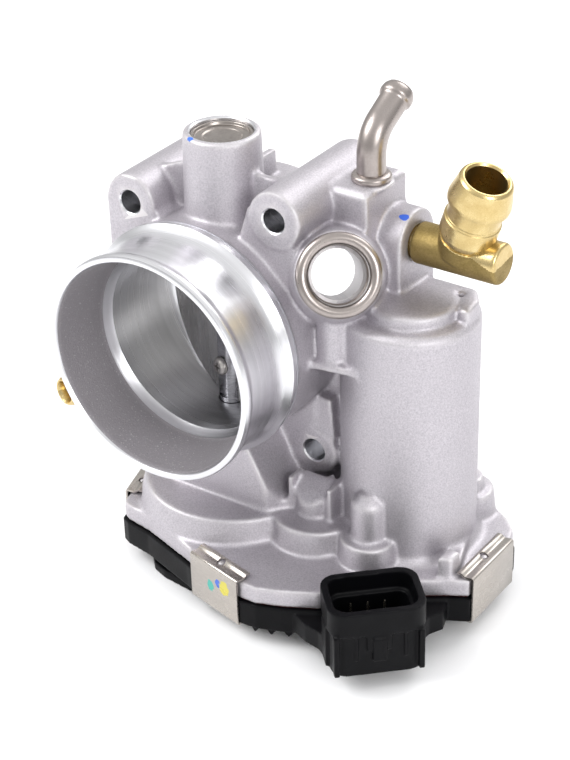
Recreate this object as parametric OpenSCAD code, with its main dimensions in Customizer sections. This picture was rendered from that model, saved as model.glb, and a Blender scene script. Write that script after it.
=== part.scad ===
// Electronic throttle body: cast housing, plastic gear cover, spring clips, geared motor
// drive, coolant pipes and a throttle plate on a vertical shaft.
// Origin: bore axis at the engine flange face. +Y to the engine, +X motor side, +Z up the shaft.

/* [Air path] */
// radius of the machined throat the plate closes
throat_r = 27.5; // [24:0.25:32]
// throat length back from the flange face
throat_len = 48; // [40:0.5:52]
// distance from the flange face to the inlet mouth
mouth_y = 68; // [60:0.5:80]
// radius of the inlet opening at the mouth
mouth_in_r = 31.3; // [28:0.1:32]
// outer radius of the inlet bead
bead_r = 33.5; // [32:0.1:36]
// width of the inlet bead
bead_w = 3.2; // [2:0.1:5]
// outer radius of the hose seat behind the bead
seat_r = 32.3; // [31:0.1:34]
// distance from the flange face to the shoulder ring
shoulder_y = 47.2; // [44:0.1:52]
// outer radius of the shoulder ring
shoulder_r = 34.65; // [34:0.05:37]
// outer radius of the cast barrel
barrel_r = 33.4; // [32:0.1:36]
// outer radius of the engine flange disc
flange_r = 35.2; // [33:0.1:38]
// thickness of the engine flange disc
flange_t = 9; // [6:0.5:14]
// radius of the pilot recess in the flange face
pilot_r = 29.5; // [28:0.1:31]
// depth of the pilot recess
pilot_d = 2.5; // [1.5:0.1:4]

/* [Bolt bosses] */
// bolt hole radius, upper pair
bolt_r = 3.4; // [3:0.05:4.5]
// outer radius of the bolt bosses
boss_r = 8.2; // [7:0.1:10]
// upper left bolt, position along X
bolt_ul_x = -24.3; // [-30:0.1:-20]
// upper left bolt, position along Z
bolt_ul_z = 33.1; // [28:0.1:40]
// upper right bolt, position along X
bolt_ur_x = 24.2; // [20:0.1:30]
// upper right bolt, position along Z
bolt_ur_z = 39.5; // [34:0.1:44]
// lower bolts, distance from the centre plane
bolt_low_x = 26.6; // [22:0.1:32]
// lower bolts, depth below the bore axis
bolt_low_z = 38; // [34:0.1:42]
// distance of the upper bolt seats from the flange face
bolt_up_y = 40.8; // [34:0.1:46]
// distance of the lower bolt seats from the flange face
bolt_low_y = 27.3; // [22:0.1:34]

/* [Throttle shaft] */
// distance from the flange face to the shaft axis
shaft_y = 29.4; // [26:0.1:34]
// shaft radius
shaft_r = 4; // [3.5:0.1:5]
// outer radius of the bearing boss on top
top_boss_r = 10.7; // [9:0.1:12]
// height of the bearing boss rim over the bore axis
top_boss_z = 56.2; // [50:0.1:60]
// thickness of the throttle plate
plate_t = 2; // [1.5:0.1:2.6]
// plate angle off square when shut
shut_deg = 8; // [5:0.5:10]
// plate angle off square when at rest
rest_deg = 20; // [12:0.5:25]

/* [Gear case] */
// top face of the gear case plate
case_z = -60; // [-64:0.1:-56]
// thickness of the gear case flange
case_t = 5.5; // [4:0.1:7]
// height of the gear bulge above the plate
bulge_h = 7.5; // [6:0.1:9]
// foot radius of the bulge round the throttle shaft
bulge_r = 29.4; // [28:0.1:31]
// depth of the cover band under the flange
cover_t = 7.8; // [7:0.1:9]

/* [Gears] */
// module of the sector and small gear
mod_a = 1; // [0.9:0.05:1]
// full-circle teeth of the sector
sector_n = 48; // [44:1:50]
// teeth of the small intermediate gear
small_n = 16; // [14:1:18]
// module of the large gear and motor pinion
mod_b = 0.7; // [0.6:0.05:0.75]
// teeth of the large intermediate gear
large_n = 60; // [54:1:62]
// teeth of the motor pinion
pinion_n = 16; // [14:1:18]

/* [Motor tower] */
// outer radius of the motor tower
tower_r = 19.4; // [18:0.1:21]
// height of the tower top over the bore axis
tower_z = 12; // [6:0.1:18]
// motor can radius
can_r = 15.8; // [14:0.1:16]

/* [Ports] */
// outer radius of the steel ferrule bead
ferrule_r = 11.5; // [10:0.1:13]
// inner radius of the steel ferrule
ferrule_in_r = 8.1; // [7:0.1:9]
// radius of the cast port passage
port_r = 6.9; // [6:0.1:7.5]
// coolant tube outer radius
tube_r = 4; // [3:0.1:5]
// top of the coolant block over the bore axis
block_z = 45; // [42:0.1:48]
// radius of the brass rod
rod_r = 5.8; // [4.5:0.1:6.5]
// largest radius of the brass hose barb
barb_r = 8.7; // [7.5:0.1:9.5]

/* [Connector] */
// outer width of the connector shell
conn_w = 27.2; // [24:0.1:30]
// outer depth of the connector shell
conn_d = 19.6; // [17:0.1:22]
// height of the connector rim
conn_top = -53; // [-56:0.1:-50]
// turn of the connector about the vertical
conn_deg = 43.6; // [35:0.1:50]

/* [Hidden] */
$fn = 64;

eps = 0.01;
gap = 0.05;
cast_wall = 2.5;
case_bot = case_z - case_t;
case_ceil = case_z - cast_wall;
bulge_top = case_z + bulge_h;
bulge_ceil = bulge_top - cast_wall;
cover_top = case_bot - 0.3;
cover_bot = cover_top - cover_t;
cover_wall = 2.4;

// axes of the three gear shafts
shaft_p = [0, -shaft_y];
dist_a = mod_a * (sector_n + small_n) / 2;
dist_b = mod_b * (large_n + pinion_n) / 2;
dir_a = -8.3;
dir_b = 38.2;
idler_p = shaft_p + dist_a * [cos(dir_a), sin(dir_a)];
motor_p = idler_p + dist_b * [cos(dir_b), sin(dir_b)];
screw_a = motor_p + tower_r * [cos(-94), sin(-94)];
screw_b = motor_p + tower_r * [cos(62), sin(62)];

// gear levels
sector_lo = case_ceil + 0.4;
sector_hi = bulge_ceil - 1.4;
large_lo = case_ceil - 5.7;
large_hi = case_ceil - 0.7;

// plan of the gear case, anticlockwise from the front left corner
clip_l0 = [-30.2, -35.7];
clip_l1 = [-26.25, -48.4];
clip_f0 = [8.1, -62.3];
clip_f1 = [28.1, -67];
clip_r0 = [81, -32];
clip_r1 = [81, -8.6];
clip_b0 = [32, -1];
clip_b1 = [18.6, -1];
outline = [[-25, -52.4], [-22.5, -53.6], [-14, -55], [5, -61], clip_f0, clip_f1, [33, -66.6],
  [40, -64], [48.5, -59.6], [69.5, -39], [76.5, -34.4], clip_r0, clip_r1, [79.3, -3.6],
  [75.2, 0.8], [69, 4], [60, 5.4], [51, 4], [44, 0], [38, -1], clip_b0, clip_b1,
  [-8, -1], [-16, -3], [-24, -8.6], [-29.2, -17], [-31.2, -27],
  clip_l0];

// port, hose and pipe axes
port_p = [42.9, -38, 27.5];
port_az = 37.2;
port_el = 24.8;
tube_p = [38.6, -15.3];
union_y = -11;
union_z = 28.2;
nipple_p = [-42, -55.5, -26.3];
nipple_az = -15;
conn_p = [66, -58];

// ---- helpers ----

// cylinder along +Y from y0 to y1
module ycyl(x, z, r, y0, y1, r2 = -1) {
  translate([x, y0, z])
    rotate([-90, 0, 0])
      cylinder(h = y1 - y0, r1 = r, r2 = r2 < 0 ? r : r2);
}

// plan shape raised from z0 to z1
module zprism(pts, z0, z1) {
  translate([0, 0, z0])
    linear_extrude(z1 - z0)
      polygon(pts);
}

// front view shape [x, z] run from y0 to y1
module yprism(pts, y0, y1) {
  translate([0, y1, 0])
    rotate([90, 0, 0])
      linear_extrude(y1 - y0)
        polygon(pts);
}

// vertical cylinder at a plan point
module zcyl(p, r, z0, z1, r2 = -1) {
  translate([p[0], p[1], z0])
    cylinder(h = z1 - z0, r1 = r, r2 = r2 < 0 ? r : r2);
}

// profile [radius, y] turned about the bore axis
module turned(pts) {
  rotate([-90, 0, 0])
    rotate_extrude()
      polygon(pts);
}

// polygon moved inward by d, anticlockwise points
function unit(v) = v / norm(v);
function left_of(v) = [-v[1], v[0]];
function inset(p, d) = [for (i = [0 : len(p) - 1])
  let (a = p[(i + len(p) - 1) % len(p)], b = p[i], c = p[(i + 1) % len(p)],
    n1 = left_of(unit(b - a)), n2 = left_of(unit(c - b)))
  b + d * (n1 + n2) / (1 + n1 * n2)];

// rounded rectangle made of plain solids
module round_box(w, d, r, z0, z1) {
  translate([-w / 2 + r, -d / 2, z0])
    cube([w - 2 * r, d, z1 - z0]);
  translate([-w / 2, -d / 2 + r, z0])
    cube([w, d - 2 * r, z1 - z0]);
  for (sx = [-1, 1], sy = [-1, 1])
    zcyl([sx * (w / 2 - r), sy * (d / 2 - r)], r, z0, z1);
}

// involute gear outline with n teeth, turned by deg
pressure = 20;
function inv_deg(a) = tan(a) * 180 / PI - a;
function half_deg(n, m, rho, lash) =
  let (rb = m * n / 2 * cos(pressure), a = rho > rb ? acos(rb / rho) : 0)
  90 / n - lash / (m * n / 2) * 90 / PI + inv_deg(pressure) - inv_deg(a);
function tooth(n, m, lash) =
  let (r0 = m * n / 2 - 1.25 * m, r1 = m * n / 2 + 0.92 * m,
    rs = [for (k = [0 : 4]) r0 + (r1 - r0) * k / 4])
  concat([for (r = rs) [r, -half_deg(n, m, r, lash)]],
    [for (k = [4 : -1 : 0]) [rs[k], half_deg(n, m, rs[k], lash)]]);
function gear_pts(n, m, deg, lash = 0.12) =
  let (t = tooth(n, m, lash))
  [for (i = [0 : n - 1]) for (q = t)
    q[0] * [cos(deg + i * 360 / n + q[1]), sin(deg + i * 360 / n + q[1])]];

// gear at plan point p
module gear(p, n, m, deg, z0, z1) {
  translate([p[0], p[1], z0])
    linear_extrude(z1 - z0)
      polygon(gear_pts(n, m, deg));
}

// run children in the port frame, +Z out of the port
module at_port() {
  translate(port_p)
    rotate([0, 0, port_az])
      rotate([90 - port_el, 0, 0])
        children();
}

// run children at the middle of an edge: +X along it, -Y outward
module at_edge(a, b) {
  translate([(a[0] + b[0]) / 2, (a[1] + b[1]) / 2, 0])
    rotate([0, 0, atan2(b[1] - a[1], b[0] - a[0])])
      children();
}

// run children in the connector frame
module at_conn() {
  translate([conn_p[0], conn_p[1], 0])
    rotate([0, 0, conn_deg])
      children();
}

// run children in the nipple frame, +Z out of the nipple
module at_nipple() {
  translate(nipple_p)
    rotate([0, 0, nipple_az])
      rotate([90, 0, 0])
        children();
}

// ---- housing casting ----

ring_w = 2;
lip_r = mouth_in_r + 0.6;
module barrel_skin() {
  turned([[0, -mouth_y], [lip_r, -mouth_y], [bead_r, -mouth_y + 0.9],
    [bead_r, -mouth_y + bead_w - 0.6], [seat_r, -mouth_y + bead_w],
    [seat_r, -shoulder_y - 5], [seat_r + 0.9, -shoulder_y - 1.6],
    [shoulder_r, -shoulder_y - 0.8], [shoulder_r, -shoulder_y + ring_w],
    [barrel_r, -shoulder_y + ring_w + 0.6], [barrel_r, -flange_t - 3],
    [flange_r, -flange_t], [flange_r, -0.6], [flange_r - 0.6, 0], [0, 0]]);
}

module air_path() {
  turned([[0, -mouth_y - 1], [mouth_in_r + 0.5, -mouth_y - 1], [mouth_in_r, -mouth_y + 0.6],
    [throat_r + 1.5, -throat_len - 2.2], [throat_r, -throat_len], [throat_r, -pilot_d - 0.6],
    [throat_r + 0.6, -pilot_d], [pilot_r, -pilot_d], [pilot_r, 1], [0, 1]]);
}

module bolt_bosses() {
  ycyl(bolt_ul_x, bolt_ul_z, boss_r, -bolt_up_y, 0, boss_r + 0.5);
  ycyl(bolt_ur_x, bolt_ur_z, boss_r, -bolt_up_y, 0, boss_r + 0.5);
  for (s = [-1, 1])
    ycyl(s * bolt_low_x, -bolt_low_z, boss_r - 1, -bolt_low_y, 0, boss_r - 0.4);
  yprism([[-33, 33], [-33, 6], [-20, 0], [-12, 28], [-24, 41]], -bolt_up_y + 0.6, -6);
  yprism([[30.5, 34], [26, 14], [8, 20], [15, 41], [26, 46]], -bolt_up_y + 0.8, -6);
  yprism([[19.5, -38], [33.6, -38], [32, -20], [12, -20]], -bolt_low_y + 0.8, -2);
  yprism([[-19.5, -38], [-12, -20], [-32, -20], [-33.6, -38]], -bolt_low_y + 0.8, -2);
}

web_t = 2.4;
module top_boss() {
  zcyl(shaft_p, top_boss_r + 0.8, 22, top_boss_z, top_boss_r);
  yprism([[-26, 40.4], [-20, 41.5], [-9, 46], [-9, 30], [-26, 30]], -shaft_y - web_t / 2,
    -shaft_y + web_t / 2);
  yprism([[9, 30], [9, 47.2], [14, 46], [24, 46.6], [24, 30]], -shaft_y - web_t / 2,
    -shaft_y + web_t / 2);
  zprism([[-web_t / 2, -shaft_y], [web_t / 2, -shaft_y], [web_t / 2, -6], [-web_t / 2, -6]], 30,
    42);
}

// column under the barrel; its right flank leans in to clear the lower bolt head
neck_lean = 28;
module neck() {
  difference() {
    zprism([[-21, -36], [-12, -43.8], [20.6, -43.5], [26, -37], [28, -10], [-21, -10]],
      case_ceil, -18);
    translate([23.5, -70, -50])
      rotate([0, -neck_lean, 0])
        cube([30, 70.3 - bolt_low_y, 50]);
  }
}

idler_boss_r = 14.2;
module bulge() {
  intersection() {
    union() {
      zcyl(shaft_p, bulge_r, case_z - 0.5, bulge_top, bulge_r - 2.4);
      zcyl(idler_p, idler_boss_r, case_z - 0.5, bulge_top, idler_boss_r - 1.6);
    }
    zprism(inset(outline, 0.1), case_z - 1, bulge_top + 1);
  }
}

// seat cut in the bulge foot so the left clip can hook over the plate
relief_w = 18.4;
relief_h = 2.2;
module clip_relief() {
  at_edge(clip_l0, clip_l1)
    translate([-relief_w / 2, -1, case_z])
      cube([relief_w, lip_in + 1.4, relief_h]);
}

pin_boss_r = 5.6;
pin_boss_z = -42;
module pin_boss() {
  intersection() {
    zcyl(idler_p, pin_boss_r, bulge_top - 1, pin_boss_z);
    translate([idler_p[0], idler_p[1], pin_boss_z - 1.5])
      rotate([38, 0, 0])
        translate([-10, -14, -30])
          cube([20, 28, 30]);
  }
  for (sx = [-1, 1])
    translate([idler_p[0] + sx * 6.6 - 0.9, idler_p[1] - 3.8, bulge_top - 1])
      cube([1.8, 14, pin_boss_z - bulge_top + 1.2]);
}

screw_boss_r = 5;
screw_boss_z = -38;
lobe_r = 8;
plinth_z = -52.6;
module tower() {
  zcyl(motor_p, tower_r, case_z - 1, tower_z - 1.6);
  zcyl(motor_p, tower_r, tower_z - 1.6, tower_z, tower_r - 1.6);
  zcyl(motor_p, tower_r + 2.6, case_z - 0.5, case_z + 2.6, tower_r - 0.2);
  for (p = [screw_a, screw_b])
    zcyl(p, lobe_r + 0.8, case_z - 0.5, plinth_z, lobe_r);
  zcyl(screw_a, screw_boss_r, plinth_z - 1, screw_boss_z - 3);
  zcyl(screw_a, screw_boss_r, screw_boss_z - 3, screw_boss_z, 2);
  zcyl(screw_b, screw_boss_r, plinth_z - 1, plinth_z + 4);
  zcyl(motor_p + [1.5, -1.8], 12.8, tower_z - 1, tower_z + 3.2);
  zcyl(motor_p + [1.5, -1.8], 12.8, tower_z + 3.2, tower_z + 4, 12);
  zprism([[motor_p[0] - 6, -6], [motor_p[0] + 14, -6], [motor_p[0] + 17.6, -11],
    [motor_p[0] + 18.8, -19], [motor_p[0] + 15.8, -19], [motor_p[0] + 12, -9.6],
    [motor_p[0] - 6, -9.6]], tower_z - 8, tower_z + 4);
}

rib_z = -1;
module gussets() {
  zprism([[31, -40], [35.5, -38.5], [47.5, -36.6], [44, -30], [40, -18], [30, -18]], rib_z - 2.4,
    rib_z);
  zcyl([37.6, -33], 4.4, rib_z - 1, rib_z + 14);
  zprism([[22, -22.5], [40, -22.5], [40, -10], [22, -10]], -50, 22);
  zprism([[30, -20.5], [46, -20.5], [46, -6], [30, -6]], -52, 20);
  zprism([[72.2, -35], [76.2, -33.4], [76.2, -28.5], [72.2, -28.5]], case_z - 1, case_z + 6.5);
  zprism([[76.2, -28.5], [69, -8], [66, -14], [72.2, -28.5]], case_z - 1, case_z + 3);
}

arch_r = 9.2;
arch_z = 9;
module coolant_block() {
  zprism([[20, -24.5], [42.8, -24.5], [42.8, -4], [20, -4]], 14, block_z - 1);
  zprism([[22, -23.2], [41.8, -23.2], [41.8, -5], [22, -5]], block_z - 1.1, block_z);
  zcyl(tube_p, 6.4, block_z - 1, block_z + 0.4);
  translate([34, union_y, union_z])
    rotate([0, 90, 0])
      cylinder(h = 16.6, r = arch_r);
  translate([34, union_y - arch_r, arch_z])
    cube([16.6, 2 * arch_r, union_z - arch_z]);
}

port_len = 26;
port_face = 1.75;
module port_boss() {
  at_port() {
    translate([0, 0, -port_len])
      cylinder(h = port_len - port_face, r1 = 16, r2 = 11.7);
  }
}

nip_boss_r = 6;
module nipple_boss() {
  at_nipple() {
    translate([0, 0, -44])
      cylinder(h = 22, r = nip_boss_r);
  }
  yprism([[-20, -16], [-31, -18], [-37, -22], [-37, -31], [-28, -34], [-16, -30]], -30, -12);
}

nub_r = 0.9;
module clip_nubs() {
  for (e = [[clip_l0, clip_l1], [clip_f0, clip_f1], [clip_r0, clip_r1], [clip_b0, clip_b1]])
    at_edge(e[0], e[1])
      translate([0, 1.9, case_z - 0.4])
        cylinder(h = 1.1, r = nub_r);
}

spring_r = 11.4;
bearing_r = 9.5;
needle_r = 7;
seal_r = 7.5;
module shaft_bores() {
  zcyl(shaft_p, shaft_r + 0.3, -throat_r - 16, throat_r + 12);
  zcyl(shaft_p, needle_r, 33.5, top_boss_z + 1);
  zcyl(shaft_p, 8.7, top_boss_z - 3.4, top_boss_z + 1);
  zcyl(shaft_p, seal_r, -37.6 - 4.4, -33.6);
  zcyl(shaft_p, bearing_r, -47.2, -39.8);
  zcyl(shaft_p, spring_r, bulge_ceil - 1, -46.8);
}

gear_cut_r = 26;
gear_cut_x = -20.5;
module case_cavity() {
  zprism(inset(outline, 4.4), case_bot - 1, case_ceil);
  intersection() {
    zcyl(shaft_p, gear_cut_r, case_bot - 1, bulge_ceil);
    zprism(inset(outline, 2.9), case_bot - 2, bulge_ceil + 1);
    translate([gear_cut_x, -shaft_y - gear_cut_r - 1, case_bot - 2])
      cube(2 * gear_cut_r + 2);
  }
  zcyl(idler_p, 10.2, case_bot - 1, bulge_ceil);
  zcyl(motor_p, can_r + 0.25, case_bot - 1, tower_z - 4);
  zcyl(motor_p, can_r + 1.9, case_bot - 1, -56);
  for (p = [screw_a, screw_b])
    zcyl(p, 4.7, case_bot - 1, -56);
  for (p = [screw_a, screw_b])
    zcyl(p, 1.75, -57, -50.5);
}

seat_cut = 4.2;
module bolt_holes() {
  for (b = [[bolt_ul_x, bolt_ul_z, bolt_up_y], [bolt_ur_x, bolt_ur_z, bolt_up_y],
      [bolt_low_x, -bolt_low_z, bolt_low_y], [-bolt_low_x, -bolt_low_z, bolt_low_y]]) {
    ycyl(b[0], b[1], bolt_r, -b[2] - 1, 1);
    ycyl(b[0], b[1], boss_r + 0.4, -b[2] - seat_cut, -b[2]);
  }
}

module passages() {
  at_port() {
    translate([0, 0, -48])
      cylinder(h = 60, r = port_r);
    translate([0, 0, -7.6])
      cylinder(h = 20, r = ferrule_in_r + 1.1);
  }
  zcyl(tube_p, tube_r + gap, block_z - 18, block_z + 2);
  translate([36, union_y, union_z])
    rotate([0, 90, 0])
      cylinder(h = 20, r = 4.6);
  at_nipple()
    translate([0, 0, -50])
      cylinder(h = 40, r = 2.7);
  at_nipple()
    translate([0, 0, -32])
      cylinder(h = 30, r = 3.5 + gap);
  ycyl(-31, -25, 2, -26, -18);
}

stop_p = shaft_p + [17, 15];
module housing() {
  color([0.74, 0.73, 0.76])
    difference() {
      union() {
        difference() {
          union() {
            barrel_skin();
            bolt_bosses();
            neck();
            gussets();
            coolant_block();
            port_boss();
            nipple_boss();
            tower();
          }
          ycyl(0, 0, 60, -mouth_y - 40, -mouth_y);
        }
        top_boss();
        difference() {
          bulge();
          clip_relief();
        }
        pin_boss();
        zprism(outline, case_bot, case_z);
        clip_nubs();
      }
      air_path();
      shaft_bores();
      case_cavity();
      bolt_holes();
      passages();
      zcyl(idler_p, pin_r, bulge_ceil - 1, bulge_ceil + 5);
      zcyl(stop_p, 1.5, bulge_ceil - 1, bulge_ceil + 6);
    }
}

// ---- shaft group ----

plug_t = 1.2;
module core_plug() {
  color([0.7, 0.69, 0.67])
    translate([0, -shaft_y, top_boss_z - 3.4])
      rotate_extrude()
        polygon([[0, 0.3], [7, 0.3], [7.3, 0.05], [8.65, 0.05], [8.65, 2.4], [7.7, 2.4],
          [7.5, plug_t + 0.3], [0, plug_t + 0.3]]);
}

module upper_bearing() {
  color([0.6, 0.6, 0.62])
    difference() {
      zcyl(shaft_p, needle_r - gap, 34, 46);
      zcyl(shaft_p, shaft_r + gap, 33, 47);
    }
}

module lower_bearing() {
  color([0.6, 0.6, 0.62])
    difference() {
      zcyl(shaft_p, bearing_r - gap, -47, -40.2);
      zcyl(shaft_p, shaft_r + gap, -48, -39);
      zcyl(shaft_p, 7.6, -47.5, -46.6);
    }
}

module shaft_seal() {
  color([0.1, 0.1, 0.1])
    difference() {
      zcyl(shaft_p, seal_r - gap, -39.6, -34);
      zcyl(shaft_p, shaft_r + gap, -41, -33);
      zcyl(shaft_p, 5.8, -40.5, -36.5);
    }
}

shaft_lo = -64.4;
shaft_hi = 48;
plate_screw_z = 15.8;
module in_plate_frame() {
  translate([0, -shaft_y, 0])
    rotate([0, 0, -rest_deg])
      children();
}

module throttle_shaft() {
  color([0.66, 0.66, 0.67])
    in_plate_frame()
      difference() {
        zcyl([0, 0], shaft_r, shaft_lo, shaft_hi);
        translate([-10, -plate_t / 2 - gap, -throat_r - gap])
          cube([20, plate_t + 2 * gap, 2 * throat_r + 2 * gap]);
        translate([-10, -10, -throat_r + 1.6])
          cube([20, 10 - shaft_r + 0.6, 2 * throat_r - 3.2]);
        for (s = [-1, 1])
          ycyl(0, s * plate_screw_z, 1.55, -10, 10);
      }
}

module throttle_plate() {
  color([0.7, 0.69, 0.68])
    translate([0, -shaft_y, 0])
      rotate([0, 0, shut_deg - rest_deg])
        difference() {
          intersection() {
            rotate([0, 0, -shut_deg])
              translate([-40, -plate_t / 2, -throat_r + 0.15])
                cube([80, plate_t, 2 * throat_r - 0.3]);
            ycyl(0, 0, throat_r - 0.12, -20, 20);
          }
          rotate([0, 0, -shut_deg])
            for (s = [-1, 1])
              ycyl(0, s * plate_screw_z, 1.55, -10, 10);
        }
}

module plate_screws() {
  color([0.8, 0.8, 0.82])
    in_plate_frame()
      for (s = [-1, 1])
        difference() {
          union() {
            ycyl(0, s * plate_screw_z, 1.5, -shaft_r - 0.1, shaft_r);
            ycyl(0, s * plate_screw_z, 2.2, -shaft_r - 1.2, -shaft_r + 0.55, 2.8);
          }
          ycyl(0, s * plate_screw_z, 1.1, -shaft_r - 2, -shaft_r - 0.2);
        }
}

sector_a0 = -34;
sector_a1 = 74;
module sector_gear() {
  color([0.87, 0.84, 0.76])
    difference() {
      union() {
        intersection() {
          gear(shaft_p, sector_n, mod_a, dir_a, sector_lo, sector_hi);
          translate([shaft_p[0], shaft_p[1], sector_lo])
            linear_extrude(20)
              polygon([[0, 0], 40 * [cos(sector_a0), sin(sector_a0)],
                50 * [cos(0), sin(0)], 50 * [cos(40), sin(40)],
                40 * [cos(sector_a1), sin(sector_a1)]]);
        }
        zcyl(shaft_p, 8.6, shaft_lo - 0.6, sector_hi + 0.5);
      }
      zcyl(shaft_p, shaft_r + gap, shaft_lo - eps, sector_hi + 2);
      translate([shaft_p[0], shaft_p[1], sector_lo + 1.2])
        linear_extrude(20)
          polygon([for (a = [sector_a0 + 12 : 14 : sector_a1 - 12]) 20.5 * [cos(a), sin(a)],
            for (a = [sector_a1 - 12 : -14 : sector_a0 + 12]) 11 * [cos(a), sin(a)]]);
      for (s = [-1, 1])
        translate([shaft_p[0] + s * 6.3, shaft_p[1], shaft_lo - 1])
          cylinder(h = 2.4, r = 1.6);
    }
}

module sensor_magnets() {
  color([0.3, 0.3, 0.32])
    for (s = [-1, 1])
      translate([shaft_p[0] + s * 6.3, shaft_p[1], shaft_lo - 0.6])
        cylinder(h = 1.9, r = 1.55);
}

// helical wire as one closed skin
function helix_ring(r, w, a, z, k) = [for (j = [0 : k - 1])
  let (q = j * 360 / k) [(r + w * cos(q)) * cos(a), (r + w * cos(q)) * sin(a), z + w * sin(q)]];
module coil(r, w, pitch, turns, k = 8, step = 15) {
  n = floor(turns * 360 / step);
  pts = [for (i = [0 : n]) each helix_ring(r, w, i * step, i * step / 360 * pitch, k)];
  caps = [[for (j = [0 : k - 1]) j], [for (j = [k - 1 : -1 : 0]) n * k + j]];
  sides = [for (i = [0 : n - 1]) for (j = [0 : k - 1])
    [i * k + j, (i + 1) * k + j, (i + 1) * k + (j + 1) % k, i * k + (j + 1) % k]];
  polyhedron(pts, concat(caps, sides), convexity = 6);
}

module return_spring() {
  color([0.45, 0.45, 0.47])
    translate([shaft_p[0], shaft_p[1], bulge_ceil + 0.4])
      coil(9.6, 0.75, 1.75, 3);
}

module stop_screw() {
  color([0.6, 0.6, 0.62]) {
    zcyl(stop_p, 1.45, bulge_ceil - 0.2, bulge_ceil + 5.5);
    zcyl(stop_p, 2.6, bulge_ceil - 1.1, bulge_ceil - 0.1);
  }
}

// ---- intermediate gear and motor ----

small_deg = dir_a + 180 + 180 / small_n;
large_deg = dir_b;
pinion_deg = dir_b + 180 + 180 / pinion_n;
pin_r = 2;
module intermediate_gear() {
  color([0.88, 0.86, 0.8])
    difference() {
      union() {
        gear(idler_p, small_n, mod_a, small_deg, large_hi - 0.5, sector_hi + 0.4);
        gear(idler_p, large_n, mod_b, large_deg, large_lo, large_hi);
      }
      zcyl(idler_p, pin_r + gap, large_lo - 1, bulge_ceil);
      difference() {
        zcyl(idler_p, 17.6, large_lo - 1, large_lo + 1.5);
        zcyl(idler_p, 5.4, large_lo - 2, large_lo + 2);
      }
      for (a = [0 : 60 : 300])
        zcyl(idler_p + 13 * [cos(a), sin(a)], 2.6, large_lo - 1, large_hi + 1);
    }
}

module intermediate_pin() {
  color([0.7, 0.7, 0.72])
    zcyl(idler_p, pin_r - gap, cover_bot + 2.6, bulge_ceil + 4.9);
}

can_lo = -56;
can_hi = tower_z - 6;
module motor_can() {
  color([0.55, 0.55, 0.57])
    difference() {
      union() {
        zcyl(motor_p, can_r, can_lo, can_hi - 1.5);
        zcyl(motor_p, can_r, can_hi - 1.5, can_hi, can_r - 1.5);
        zcyl(motor_p, 4.5, can_hi - 0.5, can_hi + 1.2);
      }
      zcyl(motor_p, 3, can_lo - 1, can_lo + 8);
    }
}

module motor_end_plate() {
  color([0.72, 0.72, 0.7])
    difference() {
      union() {
        zcyl(motor_p, can_r + 1.6, -57.6, can_lo - gap);
        for (p = [screw_a, screw_b])
          zcyl(p, 4.3, -57.6, -56.05);
      }
      zcyl(motor_p, 3.2, -59, -54);
      for (p = [screw_a, screw_b])
        zcyl(p, 2, -59, -54);
    }
}

module motor_screws() {
  color([0.75, 0.75, 0.72])
    for (p = [screw_a, screw_b])
      difference() {
        union() {
          zcyl(p, 1.7, -58, -51);
          zcyl(p, 3.4, -60, -57.65);
        }
        zcyl(p, 1.4, -61, -58.6);
      }
}

module wave_washer() {
  color([0.5, 0.5, 0.52])
    difference() {
      zcyl(motor_p, 12, can_hi + 0.3, can_hi + 1.4);
      zcyl(motor_p, 9, can_hi, can_hi + 2);
    }
}

module motor_pinion() {
  color([0.78, 0.66, 0.4]) {
    gear(motor_p, pinion_n, mod_b, pinion_deg, large_lo - 0.3, large_hi + 0.4);
    zcyl(motor_p, 1.6, large_lo - 0.6, can_lo + 6);
  }
}

module motor_terminals() {
  color([0.8, 0.7, 0.45])
    for (s = [-1, 1])
      translate([motor_p[0] + 9, motor_p[1] + s * 4 - 1.5, cover_bot + 2.1])
        cube([0.8, 3, -57.7 - cover_bot - 2.1]);
}

// ---- pipes and unions ----

module port_ferrule() {
  color([0.68, 0.65, 0.62])
    at_port() {
      difference() {
        union() {
          translate([0, 0, -7.5])
            cylinder(h = 7.5, r = ferrule_in_r + 1);
          rotate_extrude()
            translate([(ferrule_r + ferrule_in_r) / 2, 0])
              circle(r = (ferrule_r - ferrule_in_r) / 2);
        }
        translate([0, 0, -9])
          cylinder(h = 20, r = ferrule_in_r);
      }
    }
}

tube_bend_r = 9;
tube_rise = 7.5;
tube_bend = 61;
tube_run = 11;
tube_wall = 0.9;
tube_lap = 3;
tube_step = 0.03;
module tube_bend_solid(r) {
  translate([0, tube_bend_r, tube_rise])
    rotate([90, 0, -90])
      rotate([0, 0, -tube_lap])
        rotate_extrude(angle = tube_bend + 2 * tube_lap)
          translate([tube_bend_r, 0])
            circle(r = r);
}

module tube_end() {
  translate([0, tube_bend_r * (1 - cos(tube_bend)), tube_rise + tube_bend_r * sin(tube_bend)])
    rotate([-tube_bend, 0, 0])
      children();
}

module coolant_tube() {
  color([0.66, 0.63, 0.6])
    translate([tube_p[0], tube_p[1], block_z])
      difference() {
        union() {
          translate([0, 0, -10])
            cylinder(h = tube_rise + 10, r = tube_r);
          translate([0, 0, 0.45])
            cylinder(h = 1.8, r = tube_r + 1.5);
          tube_bend_solid(tube_r - tube_step);
          tube_end()
            rotate_extrude()
              polygon([[0, 0], [tube_r, 0], [tube_r, tube_run - 4.6],
                [tube_r + 0.7, tube_run - 3.2], [tube_r + 0.7, tube_run - 2.6],
                [tube_r, tube_run - 0.8], [tube_r, tube_run], [0, tube_run]]);
        }
        translate([0, 0, -11])
          cylinder(h = tube_rise + 11, r = tube_r - tube_wall);
        tube_bend_solid(tube_r - tube_wall + tube_step);
        tube_end()
          cylinder(h = tube_run + 1, r = tube_r - tube_wall);
      }
}

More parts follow.
